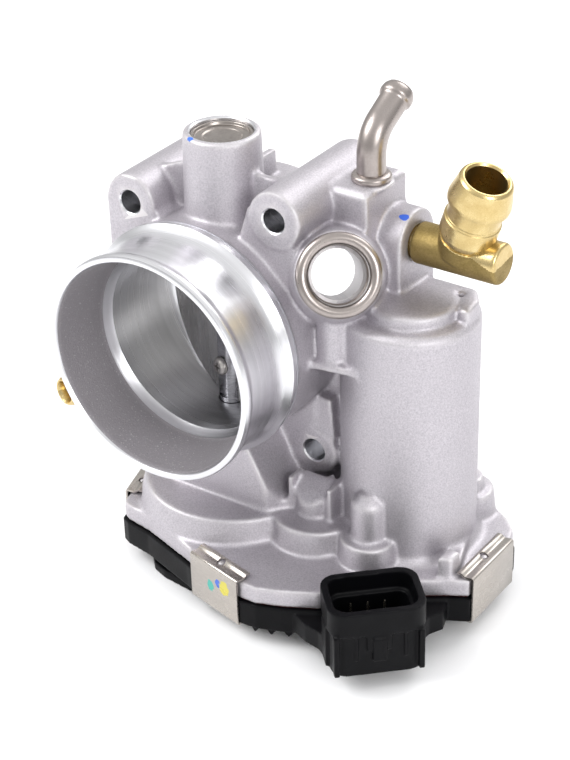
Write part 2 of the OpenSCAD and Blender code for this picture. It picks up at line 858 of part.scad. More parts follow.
rod_x0 = 50.6;
rod_x1 = 77;
barb_x = 63.8;
barb_lean_x = 20;
barb_lean_y = 6;
barb_len = 26.4;
module at_barb() {
  translate([barb_x, union_y, union_z])
    rotate([barb_lean_y, barb_lean_x, 0])
      children();
}

module brass_union() {
  color([0.8, 0.66, 0.36])
    difference() {
      union() {
        translate([rod_x0 - 12, union_y, union_z])
          rotate([0, 90, 0])
            cylinder(h = 12.2, r = 4.5);
        translate([rod_x0 + 0.1, union_y, union_z])
          rotate([0, 90, 0])
            cylinder(h = rod_x1 - rod_x0 - 0.7, r = rod_r);
        translate([rod_x1 - 0.65, union_y, union_z])
          rotate([0, 90, 0])
            cylinder(h = 0.65, r1 = rod_r, r2 = rod_r - 0.6);
        at_barb()
          rotate_extrude()
            polygon([[0, 0], [6, 0], [6.6, 5], [7.7, 6.8], [7.9, 7.8], [7.9, 13],
              [7.3, 13.6], [7.3, 18], [barb_r, 18.5], [barb_r, 19.4], [7.2, barb_len - 0.5],
              [6.9, barb_len], [0, barb_len]]);
      }
      translate([rod_x0 - 13, union_y, union_z])
        rotate([0, 90, 0])
          cylinder(h = barb_x - rod_x0 + 13, r = 3);
      at_barb() {
        cylinder(h = barb_len + 1, r = 3.4);
        translate([0, 0, 5])
          cylinder(h = barb_len, r = 5.6);
      }
    }
}

nipple_bead_r = 4.6;
module vacuum_nipple() {
  color([0.75, 0.6, 0.32])
    at_nipple()
      difference() {
        union() {
          translate([0, 0, -31.8])
            cylinder(h = 31.8, r = 3.5);
          translate([0, 0, -3.4])
            cylinder(h = 1.6, r1 = 3.5, r2 = nipple_bead_r);
          translate([0, 0, -1.8])
            cylinder(h = 1.2, r1 = nipple_bead_r, r2 = 4);
        }
        translate([0, 0, -33])
          cylinder(h = 40, r = 2.6);
      }
}

// ---- cover, connector, clips ----

tub_z = -79;
rib_lo = -77.8;
shell_lo = -74;
module cover_ribs() {
  intersection() {
    zprism(inset(outline, 4.6), rib_lo - 1, cover_bot + 1);
    union() {
      for (k = [0 : 7])
        translate([22 + k * 7.6, -34, 0])
          rotate([0, 0, k % 2 == 0 ? 30 : -30])
            translate([-1.2, -28, rib_lo])
              cube([2.4, 60, cover_bot + 0.5 - rib_lo]);
      for (y = [-46, -22])
        translate([-20, y, rib_lo + 0.6])
          cube([96, 2, cover_bot + 0.1 - rib_lo]);
    }
  }
}

// row of pointed teeth under the edge of the cover
tooth_z = -76.8;
tooth_pitch = 4.7;
tooth_x = 28.9;
module cover_teeth() {
  intersection() {
    difference() {
      zprism(inset(outline, 1.2), tooth_z - 1, cover_bot + 1);
      zprism(inset(outline, 3.8), tooth_z - 2, cover_bot + 2);
    }
    yprism(concat([[tooth_x, cover_bot + 0.6]],
      [for (k = [0 : 24]) [tooth_x + k * tooth_pitch / 2, k % 2 == 0 ? cover_bot + 0.3 : tooth_z]],
      [[tooth_x + 12 * tooth_pitch, cover_bot + 0.6]]), -70, -33);
  }
}

tub_pts = [[-16.5, -51], [-13, -54.6], [-8, -56.4], [2.3, -57.6], [5.6, -56.2], [7.4, -52],
  [9, -30], [-4, -14], [-20, -20], [-22, -40]];
slot_pts = [[-14.6, -59], [3.6, -59], [3.6, -54.6], [-8, -53.4], [-14.6, -50.8]];
pin_pitch = 4.7;
pin_row = 2.2;
pin_shift = -1;
module connector_shell() {
  at_conn() {
    difference() {
      union() {
        round_box(conn_w, conn_d, 5.2, conn_top - 7.4, conn_top);
        round_box(conn_w - 1.6, conn_d - 1.4, 4.6, shell_lo, conn_top - 7);
        for (s = [-1, 1])
          translate([s * (conn_w / 2 - 1.9) - 0.8, -conn_d / 2 - 0.1, shell_lo + 0.6])
            cube([1.6, 4, 13]);
        for (x = [-6.6, 6.8])
          translate([x, -conn_d / 2 + 0.1, shell_lo + 5.4])
            cube([0.8, 3, 8.4]);
        for (s = [-1, 1])
          translate([s * (conn_w / 2 - 0.6) - 0.9, -4, shell_lo + 0.3])
            cube([1.8, 6, 13]);
        translate([-1.9, -conn_d / 2 - 0.6, shell_lo + 5])
          cube([3.8, 3, 7.6]);
        translate([-3.4, -conn_d / 2, shell_lo + 8.4])
          cube([6.8, 3, 5.4]);
      }
      round_box(conn_w - 4.2, conn_d - 4.2, 3.6, conn_top - 5.6, conn_top + 1);
      round_box(conn_w - 6.4, conn_d - 6.4, 2.8, shell_lo + 2.4, conn_top);
      for (i = [-1 : 1], j = [-1, 1])
        translate([i * pin_pitch + pin_shift - 0.37, j * pin_row - 0.37, shell_lo - 1])
          cube([0.74, 0.74, 6]);
    }
    translate([-conn_w / 2 + 2, conn_d / 2 - 2, shell_lo + 0.4])
      cube([conn_w - 4, 8, -shell_lo + cover_top - 0.6]);
  }
}

module conn_webs() {
  zprism([[42, -62.8], [50.2, -58.2], [56.6, -67.6], [53.4, -66.2], [48.6, -65.4]],
    cover_bot + 0.6, cover_top - 0.8);
  zprism([[69.2, -39.6], [76, -34.8], [77.6, -40], [75.6, -44], [75.4, -49]], cover_bot + 0.6,
    cover_top - 0.8);
}

board_p = [[-12, -44], [10, -44], [22, -52], [44, -50], [44, -40], [20, -42], [12, -20],
  [-12, -20]];
module gear_cover() {
  color([0.14, 0.14, 0.16])
    difference() {
      union() {
        difference() {
          union() {
            zprism(inset(outline, -0.6), cover_bot, cover_top);
            conn_webs();
          }
          zprism(inset(outline, cover_wall), cover_bot + 2, cover_top + 1);
        }
        connector_shell();
        cover_ribs();
        cover_teeth();
        zprism(tub_pts, tub_z, cover_bot + 0.5);
        zcyl(idler_p, 4.2, cover_bot + 1, cover_bot + 3.6);
      }
      zprism(inset(tub_pts, 2.2), tub_z + 2, cover_bot);
      zprism(slot_pts, tub_z + 2.7, cover_bot);
      zcyl(idler_p, pin_r + gap, cover_bot + 2.5, cover_bot + 6);
    }
}

module cover_gasket() {
  color([0.35, 0.1, 0.1])
    difference() {
      zprism(inset(outline, 0.8), cover_top + gap, case_bot - gap);
      zprism(inset(outline, 2.3), cover_top - 1, case_bot + 1);
    }
}

module sensor_board() {
  color([0.1, 0.35, 0.2])
    zprism(board_p, cover_bot + 2.1, cover_bot + 3.3);
}

pin_tip = -57.9;
module connector_pins() {
  color([0.8, 0.76, 0.6])
    at_conn()
      for (i = [-1 : 1], j = [-1, 1]) {
        translate([i * pin_pitch + pin_shift - 0.32, j * pin_row - 0.32, shell_lo + 0.2])
          cube([0.64, 0.64, pin_tip - shell_lo - 0.7]);
        translate([i * pin_pitch + pin_shift, j * pin_row, pin_tip - 0.6])
          rotate([0, 0, 45])
            cylinder(h = 0.7, r1 = 0.45, r2 = 0.2, $fn = 4);
      }
}

clip_t = 0.6;
clip_out = 0.75;
lip_in = 4.4;
clip_top = case_z + 0.12;
clip_bot = cover_bot - 0.12;
module clip(a, b) {
  len = norm(b - a) - 0.6;
  color([0.72, 0.7, 0.67])
    at_edge(a, b)
      difference() {
        translate([len / 2, 0, 0])
          rotate([90, 0, -90])
            linear_extrude(len)
              polygon([[clip_out, clip_bot], [clip_out, clip_top], [-lip_in + 1.2, clip_top],
                [-lip_in, clip_top + 1], [-lip_in + 0.4, clip_top + 1.5],
                [-lip_in + 1.5, clip_top + clip_t], [clip_out + 0.2, clip_top + clip_t],
                [clip_out + clip_t, clip_top + 0.2], [clip_out + clip_t, clip_bot - 0.2],
                [clip_out + 0.2, clip_bot - clip_t], [-lip_in + 1.5, clip_bot - clip_t],
                [-lip_in + 1.5, clip_bot]]);
        translate([0, 1.9, clip_top - 1])
          cylinder(h = 4, r = 1.3);
      }
}

module clip_front() {
  clip(clip_f0, clip_f1);
}

module clip_left() {
  clip(clip_l0, clip_l1);
}

module clip_right() {
  clip(clip_r0, clip_r1);
}

module clip_rear() {
  clip(clip_b0, clip_b1);
}

housing();
core_plug();
upper_bearing();
lower_bearing();
shaft_seal();
throttle_shaft();
throttle_plate();
plate_screws();
sector_gear();
sensor_magnets();
return_spring();
stop_screw();
intermediate_gear();
intermediate_pin();
motor_can();
motor_end_plate();
motor_screws();
wave_washer();
motor_pinion();
motor_terminals();
port_ferrule();
coolant_tube();
brass_union();
vacuum_nipple();
gear_cover();
cover_gasket();
sensor_board();
connector_pins();
clip_front();
clip_left();
clip_right();
clip_rear();
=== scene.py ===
"""Electronic throttle body on a pale studio floor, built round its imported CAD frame."""
import math

import bmesh
import bpy
from mathutils import Matrix, Vector


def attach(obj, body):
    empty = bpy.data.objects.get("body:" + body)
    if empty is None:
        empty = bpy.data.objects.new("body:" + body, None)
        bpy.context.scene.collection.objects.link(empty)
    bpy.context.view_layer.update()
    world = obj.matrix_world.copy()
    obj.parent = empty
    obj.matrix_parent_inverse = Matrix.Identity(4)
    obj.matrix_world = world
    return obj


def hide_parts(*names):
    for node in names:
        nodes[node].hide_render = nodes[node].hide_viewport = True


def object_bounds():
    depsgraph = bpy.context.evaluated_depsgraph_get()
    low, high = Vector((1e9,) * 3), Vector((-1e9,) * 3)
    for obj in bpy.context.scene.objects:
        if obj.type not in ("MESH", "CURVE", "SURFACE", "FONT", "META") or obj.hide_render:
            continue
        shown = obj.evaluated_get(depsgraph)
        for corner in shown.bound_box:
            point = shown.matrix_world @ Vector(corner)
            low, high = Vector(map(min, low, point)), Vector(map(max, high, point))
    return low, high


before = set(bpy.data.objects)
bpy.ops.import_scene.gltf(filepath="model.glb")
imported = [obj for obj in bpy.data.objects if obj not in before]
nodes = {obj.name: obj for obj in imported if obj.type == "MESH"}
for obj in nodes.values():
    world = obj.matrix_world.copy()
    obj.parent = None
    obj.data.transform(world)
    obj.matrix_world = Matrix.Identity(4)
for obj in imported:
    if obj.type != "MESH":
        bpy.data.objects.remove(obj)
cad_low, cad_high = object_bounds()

scene = bpy.context.scene

# ---------------------------------------------------------------------------
# Camera: a 90 mm lens half a metre away, a little above and to the motor side.
# ---------------------------------------------------------------------------
MM = 0.001
LENS = 90.5
CAMERA_AT = Vector((288.8, -408.6, 257.2)) * MM
CAMERA_TURN, CAMERA_RISE, CAMERA_ROLL = (math.radians(a) for a in (35.48, 30.41, -1.61))

back = Vector((math.sin(CAMERA_TURN) * math.cos(CAMERA_RISE),
               -math.cos(CAMERA_TURN) * math.cos(CAMERA_RISE), math.sin(CAMERA_RISE)))
level = Vector((math.cos(CAMERA_TURN), math.sin(CAMERA_TURN), 0))
upright = back.cross(level)
side = math.cos(CAMERA_ROLL) * level + math.sin(CAMERA_ROLL) * upright
up = -math.sin(CAMERA_ROLL) * level + math.cos(CAMERA_ROLL) * upright
camera = bpy.data.objects.new("camera", bpy.data.cameras.new("camera"))
camera.data.lens = LENS
camera.data.clip_start, camera.data.clip_end = 0.01, 20
camera.matrix_world = Matrix((side, up, back)).transposed().to_4x4()
camera.location = CAMERA_AT
scene.collection.objects.link(camera)
scene.camera = camera

# ---------------------------------------------------------------------------
# Housing: one aluminium pressure die casting. Its outside keeps the matt cast
# skin with soft corners; the inlet, throat, holes and seats are then machined.
# ---------------------------------------------------------------------------
THROAT, THROAT_LEN = 27.5, 48
MOUTH_Y, MOUTH_IN = -68, 31.3
BEAD, SEAT = 33.5, 32.3
SHOULDER = 34.65
SHAFT_Y = -29.4
PILOT, PILOT_D = 29.5, 2.5
BOLT = 3.4
BOLTS = ((-24.3, 33.1, -40.8), (24.2, 39.5, -40.8), (26.6, -38, -27.3), (-26.6, -38, -27.3))
BOSS_TOP = 56.2
PORT_AT = Vector((42.9, -38, 27.5))
PORT_TURN, PORT_RISE = math.radians(37.2), math.radians(24.8)
TUBE_AT = Vector((38.6, -15.3, 45))
UNION_AT = Vector((50.6, -11, 28.2))
PORT_FACE = -1.75
ROUND = 128


def mesh_object(name, mesh):
    made = bpy.data.objects.new(name, mesh)
    scene.collection.objects.link(made)
    return made


def applied(obj):
    """Turns obj with its modifiers into a plain mesh."""
    done = bpy.data.meshes.new_from_object(
        obj.evaluated_get(bpy.context.evaluated_depsgraph_get()))
    obj.modifiers.clear()
    obj.data = done
    return obj


def modified(obj, kind, **settings):
    """Runs one modifier on obj."""
    step = obj.modifiers.new(kind, kind)
    for key, value in settings.items():
        setattr(step, key, value)
    return applied(obj)


def combined(obj, tool, operation="DIFFERENCE"):
    """Cuts, joins or trims obj by a closed tool, then throws the tool away."""
    modified(obj, "BOOLEAN", object=tool, operation=operation, solver="MANIFOLD")
    bpy.data.objects.remove(tool)
    return obj


def turned(name, profile, place=None, segments=ROUND):
    """Closed solid of revolution about Z from [radius, height] in mm; radius 0 at both ends."""
    bm = bmesh.new()
    rings = []
    for radius, height in profile:
        if radius < 1e-6:
            rings.append([bm.verts.new((0, 0, height * MM))])
        else:
            rings.append([bm.verts.new((radius * MM * math.cos(a), radius * MM * math.sin(a),
                                        height * MM))
                          for a in (2 * math.pi * k / segments for k in range(segments))])
    loops = list(zip(rings, rings[1:]))
    if len(rings[0]) > 1:
        loops.append((rings[-1], rings[0]))
    for low, high in loops:
        for k in range(segments):
            ring = [low[k % len(low)], low[(k + 1) % len(low)],
                    high[(k + 1) % len(high)], high[k % len(high)]]
            face = list(dict.fromkeys(ring))
            if len(face) > 2:
                bm.faces.new(face)
    bmesh.ops.recalc_face_normals(bm, faces=bm.faces)
    mesh = bpy.data.meshes.new(name)
    if place is not None:
        bm.transform(place)
    bm.to_mesh(mesh)
    bm.free()
    return mesh_object(name, mesh)


def ringed(profile, step=1.6):
    """Profile in mm whose long steps are split, so that shading stays even."""
    out = [Vector(profile[0])]
    for point in profile[1:]:
        point, last = Vector(point), out[-1]
        parts = max(1, math.ceil((point - last).length / step)) if last.x > 0.01 else 1
        out += [last.lerp(point, (k + 1) / parts) for k in range(parts)]
    return out


def rod(radius, start, end, place=None, radius_end=None, segments=64):
    """Closed cylinder or cone along Z, as a tool."""
    last = radius if radius_end is None else radius_end
    return turned("tool", [[0, start], [radius, start], [last, end], [0, end]], place, segments)


def slab(low, high):
    """Closed box between two corners in mm, as a tool."""
    bm = bmesh.new()
    bmesh.ops.create_cube(bm, size=1)
    low, high = Vector(low), Vector(high)
    for v in bm.verts:
        v.co = Vector((low[i] + (high[i] - low[i]) * (v.co[i] + 0.5) for i in range(3))) * MM
    mesh = bpy.data.meshes.new("tool")
    bm.to_mesh(mesh)
    bm.free()
    return mesh_object("tool", mesh)


def placed(at, *turns):
    """Matrix from a point in mm and turns as (axis, radians), last turn first."""
    made = Matrix.Translation(Vector(at) * MM)
    for axis, angle in turns:
        made = made @ Matrix.Rotation(angle, 4, axis)
    return made


ALONG_Y = (("X", -math.pi / 2),)
ALONG_X = (("Y", math.pi / 2),)
AT_BORE = placed((0, 0, 0), *ALONG_Y)
AT_PORT = placed(PORT_AT, ("Z", PORT_TURN), ("X", math.pi / 2 - PORT_RISE))


def mould_softened(obj, grain, passes, triangles):
    """Rounds every corner as a mould does: even skin, smoothing, then fewer triangles."""
    modified(obj, "REMESH", mode="VOXEL", voxel_size=grain * MM, adaptivity=0)
    modified(obj, "SMOOTH", factor=0.5, iterations=passes)
    modified(obj, "DECIMATE", ratio=triangles / (2 * len(obj.data.polygons)))


def merged_copy(name, *sources):
    """Closed copy of CAD meshes whose loose triangles are welded."""
    bm = bmesh.new()
    for source in sources:
        bm.from_mesh(nodes[source].data)
    bmesh.ops.remove_doubles(bm, verts=bm.verts, dist=2e-6)
    mesh = bpy.data.meshes.new(name)
    bm.to_mesh(mesh)
    bm.free()
    return mesh_object(name, mesh)


def add(tree, kind, inputs=None, **settings):
    """Adds a node with its settings, then sets or links its inputs."""
    made = tree.nodes.new(kind)
    for key, value in settings.items():
        setattr(made, key, value)
    for socket, value in (inputs or {}).items():
        if isinstance(value, bpy.types.NodeSocket):
            tree.links.new(value, made.inputs[socket])
        else:
            made.inputs[socket].default_value = value
    return made


def colour(code):
    """sRGB hex to linear RGBA."""
    parts = [int(code[i:i + 2], 16) / 255 for i in (1, 3, 5)]
    return [c / 12.92 if c < 0.04045 else ((c + 0.055) / 1.055) ** 2.4 for c in parts] + [1]


def finish_of(name, **sockets):
    """New material; returns it, its tree and its shader with the given sockets set."""
    made = bpy.data.materials.new(name)
    made.use_nodes = True
    shader = made.node_tree.nodes["Principled BSDF"]
    for socket, value in sockets.items():
        shader.inputs[socket.replace("_", " ")].default_value = value
    return made, made.node_tree, shader


def per_metre(millimetres):
    """Noise scale whose lumps are this many millimetres apart."""
    return 1 / (millimetres * MM)


def soft_corners(mesh, degrees=32):
    """Smooth shading that keeps edges sharper than this."""
    mesh.polygons.foreach_set("use_smooth", [True] * len(mesh.polygons))
    mesh.set_sharp_from_angle(angle=math.radians(degrees))


def grained(name, dark, light, grain_mm, rough, bump_mm, metallic=1.0, stretch=(1, 1, 1)):
    """Finish whose tone, gloss and relief follow one grain; stretch below 1 draws it out."""
    made, tree, shader = finish_of(name, Metallic=metallic)
    where = add(tree, "ShaderNodeMapping",
                {"Vector": add(tree, "ShaderNodeTexCoord").outputs["Object"],
                 "Scale": stretch}).outputs["Vector"]
    grain = add(tree, "ShaderNodeTexNoise", {"Vector": where, "Scale": per_metre(grain_mm),
                "Detail": 4.0, "Roughness": 0.6}).outputs["Fac"]
    cloud = add(tree, "ShaderNodeTexNoise", {"Vector": where, "Scale": per_metre(12 * grain_mm),
                "Detail": 3.0}).outputs["Fac"]
    mixed = add(tree, "ShaderNodeMath", {0: grain, 1: cloud}, operation="ADD").outputs[0]
    spread = add(tree, "ShaderNodeMapRange", {"Value": mixed, "From Min": 0.7,
                 "From Max": 1.3}).outputs["Result"]
    tone = add(tree, "ShaderNodeMix", {"Factor": spread, "A": colour(dark), "B": colour(light)},
               data_type="RGBA").outputs["Result"]
    gloss = add(tree, "ShaderNodeMapRange", {"Value": spread, "To Min": rough + 0.06,
                "To Max": rough - 0.06}).outputs["Result"]
    relief = add(tree, "ShaderNodeBump", {"Height": grain, "Strength": 0.3,
                 "Distance": bump_mm * MM}).outputs["Normal"]
    tree.links.new(tone, shader.inputs["Base Color"])
    tree.links.new(gloss, shader.inputs["Roughness"])
    tree.links.new(relief, shader.inputs["Normal"])
    return made


def daubed(finish, *daubs):
    """Puts paint daubs over a finish, each a middle and half widths in mm and a colour."""
    tree = finish.node_tree
    shader = tree.nodes["Principled BSDF"]
    where = add(tree, "ShaderNodeTexCoord").outputs["Object"]
    wobble = add(tree, "ShaderNodeTexNoise", {"Vector": where, "Scale": per_metre(1.3),
                 "Detail": 2.0}).outputs["Fac"]
    tone = shader.inputs["Base Color"].links[0].from_socket
    cover = None
    for middle, half, code in daubs:
        local = add(tree, "ShaderNodeMapping", {
            "Vector": where, "Location": [-m / h for m, h in zip(middle, half)],
            "Scale": [1 / (h * MM) for h in half]}).outputs["Vector"]
        reach = add(tree, "ShaderNodeVectorMath", {0: local}, operation="LENGTH").outputs["Value"]
        ragged = add(tree, "ShaderNodeMath", {0: reach, 1: wobble}, operation="ADD").outputs[0]
        mask = add(tree, "ShaderNodeMapRange", {"Value": ragged, "From Min": 1.52,
                   "From Max": 1.42}).outputs["Result"]
        tone = add(tree, "ShaderNodeMix", {"Factor": mask, "A": tone, "B": colour(code)},
                   data_type="RGBA").outputs["Result"]
        cover = mask if cover is None else add(tree, "ShaderNodeMath", {0: cover, 1: mask},
                                               operation="MAXIMUM").outputs[0]
    tree.links.new(tone, shader.inputs["Base Color"])
    tree.links.new(add(tree, "ShaderNodeMapRange", {"Value": cover,
                   "To Min": shader.inputs["Metallic"].default_value, "To Max": 0.0})
                   .outputs["Result"], shader.inputs["Metallic"])


def dress(node, finish):
    """Gives a CAD node that stays its real finish."""
    for slot in nodes[node].material_slots:
        slot.material = finish


# Die-cast, shot-blasted aluminium: mid grey, matt, with a fine sandy grain, faint flow
# clouds, and convex corners painted lighter: a painted highlight along the rounded edges,
# partly blasting wear.
cast_aluminium, tree, shader = finish_of("die_cast_aluminium_blasted", Metallic=0.85)
where = add(tree, "ShaderNodeTexCoord").outputs["Object"]
grain = add(tree, "ShaderNodeTexNoise", {"Vector": where, "Scale": per_metre(0.45),
            "Detail": 5.0, "Roughness": 0.7}).outputs["Fac"]
cloud = add(tree, "ShaderNodeTexNoise", {"Vector": where, "Scale": per_metre(11),
            "Detail": 5.0, "Roughness": 0.6}).outputs["Fac"]
# convex corners found by pointiness and painted lighter: painted highlight, partly blasting wear
edge = add(tree, "ShaderNodeMapRange", {"Value": add(tree, "ShaderNodeNewGeometry")
           .outputs["Pointiness"], "From Min": 0.505, "From Max": 0.57}).outputs["Result"]
skin = add(tree, "ShaderNodeMix", {"Factor": cloud, "A": colour("#BEBABF"),
           "B": colour("#CFCBD0")}, data_type="RGBA")
speck = add(tree, "ShaderNodeMix", {"Factor": add(tree, "ShaderNodeMapRange",
            {"Value": grain, "From Min": 0.32, "From Max": 0.62}).outputs["Result"],
            "A": colour("#AAA6AC"), "B": skin.outputs["Result"]}, data_type="RGBA")
tinted = add(tree, "ShaderNodeMix", {"Factor": edge, "A": speck.outputs["Result"],
             "B": colour("#DAD7D8")}, data_type="RGBA")
tree.links.new(tinted.outputs["Result"], shader.inputs["Base Color"])
tree.links.new(add(tree, "ShaderNodeMapRange", {"Value": cloud, "To Min": 0.46,
               "To Max": 0.58}).outputs["Result"], shader.inputs["Roughness"])
tree.links.new(add(tree, "ShaderNodeBump", {"Height": grain, "Strength": 0.45,
               "Distance": 0.14 * MM}).outputs["Normal"], shader.inputs["Normal"])

# two dabs of the inspector's blue lacquer: boss rim and top of the union's arch
daubed(cast_aluminium, ((-3.3, -38.2, 56.2), (1.4, 1.3, 1.4), "#3A6FD0"),
       ((48.6, -15, 36.5), (1.6, 1, 1.6), "#2F5FCC"))

# Turned aluminium: bright, with the tool's fine feed rings round the bore. The rings are
# drawn three times coarser than the real 0.1 mm feed so that they show.
turned_aluminium, tree, shader = finish_of("turned_aluminium", Metallic=1.0, Anisotropic=0.3)
where = add(tree, "ShaderNodeSeparateXYZ",
            {"Vector": add(tree, "ShaderNodeTexCoord").outputs["Object"]}).outputs
across = add(tree, "ShaderNodeMath", {0: where["X"], 1: where["X"]}, operation="MULTIPLY")
upward = add(tree, "ShaderNodeMath", {0: where["Z"], 1: where["Z"]}, operation="MULTIPLY")
radius = add(tree, "ShaderNodeMath", {0: across.outputs[0], 1: upward.outputs[0]})
radius = add(tree, "ShaderNodeMath", {0: radius.outputs[0]}, operation="SQRT").outputs[0]
feed = add(tree, "ShaderNodeMath", {0: radius, 1: where["Y"]}).outputs[0]
rings = add(tree, "ShaderNodeTexNoise", {"W": feed, "Scale": per_metre(0.3), "Detail": 3.0},
            noise_dimensions="1D").outputs["Fac"]
bands = add(tree, "ShaderNodeTexNoise", {"W": feed, "Scale": per_metre(2.5), "Detail": 2.0},
            noise_dimensions="1D").outputs["Fac"]
tone = add(tree, "ShaderNodeMix", {"Factor": bands, "A": colour("#CBCBCE"),
           "B": colour("#EBEBEE")}, data_type="RGBA")
tree.links.new(tone.outputs["Result"], shader.inputs["Base Color"])
tree.links.new(add(tree, "ShaderNodeMapRange", {"Value": rings, "To Min": 0.23,
               "To Max": 0.37}).outputs["Result"], shader.inputs["Roughness"])
tree.links.new(add(tree, "ShaderNodeBump", {"Height": rings, "Strength": 0.25,
               "Distance": 0.02 * MM}).outputs["Normal"], shader.inputs["Normal"])

# The inlet's inner cone: the same alloy off a sandy core, coarser, with painted shade darkening
# its colour and painted glints on its grain.
inlet_skin, tree, shader = finish_of("core_cast_aluminium", Metallic=0.7, Roughness=0.62)
where = add(tree, "ShaderNodeTexCoord").outputs["Object"]
grain = add(tree, "ShaderNodeTexNoise", {"Vector": where, "Scale": per_metre(0.55),
            "Detail": 4.0, "Roughness": 0.7}).outputs["Fac"]
# the dark base colour is painted shade inside the cone; the bright grain tips are painted glints
glint = add(tree, "ShaderNodeMapRange", {"Value": grain, "From Min": 0.6,
            "From Max": 0.72}).outputs["Result"]
tone = add(tree, "ShaderNodeMix", {"Factor": glint, "A": colour("#9A969A"),
           "B": colour("#DEDBDE")}, data_type="RGBA")
tree.links.new(tone.outputs["Result"], shader.inputs["Base Color"])
tree.links.new(add(tree, "ShaderNodeBump", {"Height": grain, "Strength": 0.6,
               "Distance": 0.2 * MM}).outputs["Normal"], shader.inputs["Normal"])

housing = merged_copy("housing_casting", "housing")
# raw casting: the machined holes are still filled
for x, z, y in BOLTS:
    combined(housing, rod(7.6, y, 1.2, placed((x, 0, z), *ALONG_Y)), "UNION")
combined(housing, rod(31.6, -46, -0.5, AT_BORE), "UNION")
combined(housing, turned("tool", [[28, -1], [35, -1], [35, 1.2], [28, 1.2]], AT_BORE), "UNION")
combined(housing, rod(9.4, 50, BOSS_TOP, placed((0, SHAFT_Y, 0))), "UNION")
combined(housing, rod(10.5, -14, PORT_FACE, AT_PORT), "UNION")
combined(housing, rod(4.15, -19, 0.2, placed(TUBE_AT)), "UNION")
# parting flash down the motor tower's right side
combined(housing, rod(0.45, -50, 9, placed((70.9, -11.4, 0)), segments=12), "UNION")
mould_softened(housing, grain=0.6, passes=13, triangles=130000)

# machining: inlet, flange face, bore, holes
combined(housing, rod(36.5, -90, -45.4, AT_BORE, segments=ROUND))
combined(housing, turned("tool", ringed([
    [0, MOUTH_Y], [32.7, MOUTH_Y], [33.2, -67.75], [BEAD, -67.1], [BEAD, -65.6],
    [33.2, -65.1], [32.5, -64.85], [SEAT, -64.5], [SEAT, -53.5], [32.5, -51.6],
    [33, -50], [33.9, -48.7], [34.4, -48.15], [SHOULDER, -47.8], [SHOULDER, -46.9],
    [34.35, -46.5], [34.3, -45.7], [33.7, -45.2], [33.3, -44], [0, -44]]),
    AT_BORE, segments=2 * ROUND), "UNION")
combined(housing, slab((-40, 0, -47), (36, 4, 52)))
combined(housing, turned("tool", ringed([
    [0, -71], [31.9, -71], [31.9, -68.2], [MOUTH_IN, -67.4], [29, -50.6], [28.6, -50],
    [28.3, -49.2], [THROAT, -THROAT_LEN], [THROAT, -3.1], [28.1, -PILOT_D],
    [PILOT, -PILOT_D], [PILOT, -0.3], [29.8, 0], [29.8, 2], [0, 2]]),
    AT_BORE, segments=2 * ROUND))
for x, z, y in BOLTS:
    combined(housing, turned("tool", [
        [0, y - 1], [BOLT + 0.4, y - 1], [BOLT + 0.4, y], [BOLT, y + 0.4], [BOLT, -0.4],
        [BOLT + 0.4, 0], [BOLT + 0.4, 1], [0, 1]], placed((x, 0, z), *ALONG_Y), 48))
combined(housing, turned("tool", [
    [0, 33.5], [7, 33.5], [7, 52.4], [7.4, 52.8], [8.7, 52.8], [8.7, 55.7], [9.2, 56.25],
    [9.2, 58], [0, 58]], placed((0, SHAFT_Y, 0)), 96))
combined(housing, rod(4.3, -41, 34, placed((0, SHAFT_Y, 0))))
combined(housing, rod(6.9, -48, 4, AT_PORT))
combined(housing, rod(9.2, -7.6, 4, AT_PORT))
# a press fit whose bore leaves the thin wall beside the tube whole
combined(housing, rod(3.3, -18, 3, placed(TUBE_AT)))
combined(housing, rod(4.6, -16, 3, placed(UNION_AT, *ALONG_X)))
# four cast nubs that the spring clips snap over
EDGES = {"front": ((8.1, -62.3), (28.1, -67)), "left": ((-30.2, -35.7), (-26.25, -48.4)),
         "right": ((81, -32), (81, -8.6)), "rear": ((32, -1), (18.6, -1))}
CASE_Z = -60
NUB_IN = 1.9


def at_edge(name):
    """Middle, direction and outward normal of the gear case edge that a clip grips."""
    start, end = (Vector(p) for p in EDGES[name])
    along = (end - start).normalized()
    return (start + end) / 2, along, Vector((along.y, -along.x)), (end - start).length


for name in EDGES:
    middle, along, outward, _ = at_edge(name)
    x, y = middle - NUB_IN * outward
    combined(housing, turned("tool", [[0, -1], [1, -1], [0.95, 0.3], [0.8, 0.75], [0.5, 0.95],
             [0, 1]], placed((x, y, CASE_Z)), 32), "UNION")
soft_corners(housing.data)


def is_machined(face, corners):
    """True on faces that a tool has cut; corners are the mesh's points in mm."""
    (x, y, z), normal = face.center / MM, face.normal
    radius = math.hypot(x, z)
    outward = (normal.x * x + normal.z * z) / max(radius, 1)
    return ((y < -45.15 and 31.5 < radius < 36 and outward > -0.2) or y < -67.35
            or (radius < 29.1 and -50.7 < y < -2.4)
            or (radius < 30 and y > -2.6) or (y > -0.02 and z > -50 and x < 36)
            or (math.hypot(x, y - SHAFT_Y) < 9.3 and z > 33)
            or any(all(math.hypot(corners[v].x - a, corners[v].z - b) < BOLT + 0.45
                       for v in face.vertices) for a, b, _ in BOLTS))


def is_inlet_skin(face):
    """True on the inlet's inner cone, which stays as cast."""
    x, y, z = face.center / MM
    return y < -50.6 and math.hypot(x, z) < 31.5


housing.data.materials.clear()
housing.data.materials.append(cast_aluminium)
housing.data.materials.append(turned_aluminium)
housing.data.materials.append(inlet_skin)
corners = [v.co / MM for v in housing.data.vertices]
for face in housing.data.polygons:
    if is_machined(face, corners):
        face.material_index = 1
    elif is_inlet_skin(face):
        face.material_index = 2
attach(housing, "case")
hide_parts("housing")

# ---------------------------------------------------------------------------
# Core plug: a pressed cup of bare drawn steel, driven into the counterbore over
# the upper bearing.
# ---------------------------------------------------------------------------
PLUG_Z = BOSS_TOP - 3.4


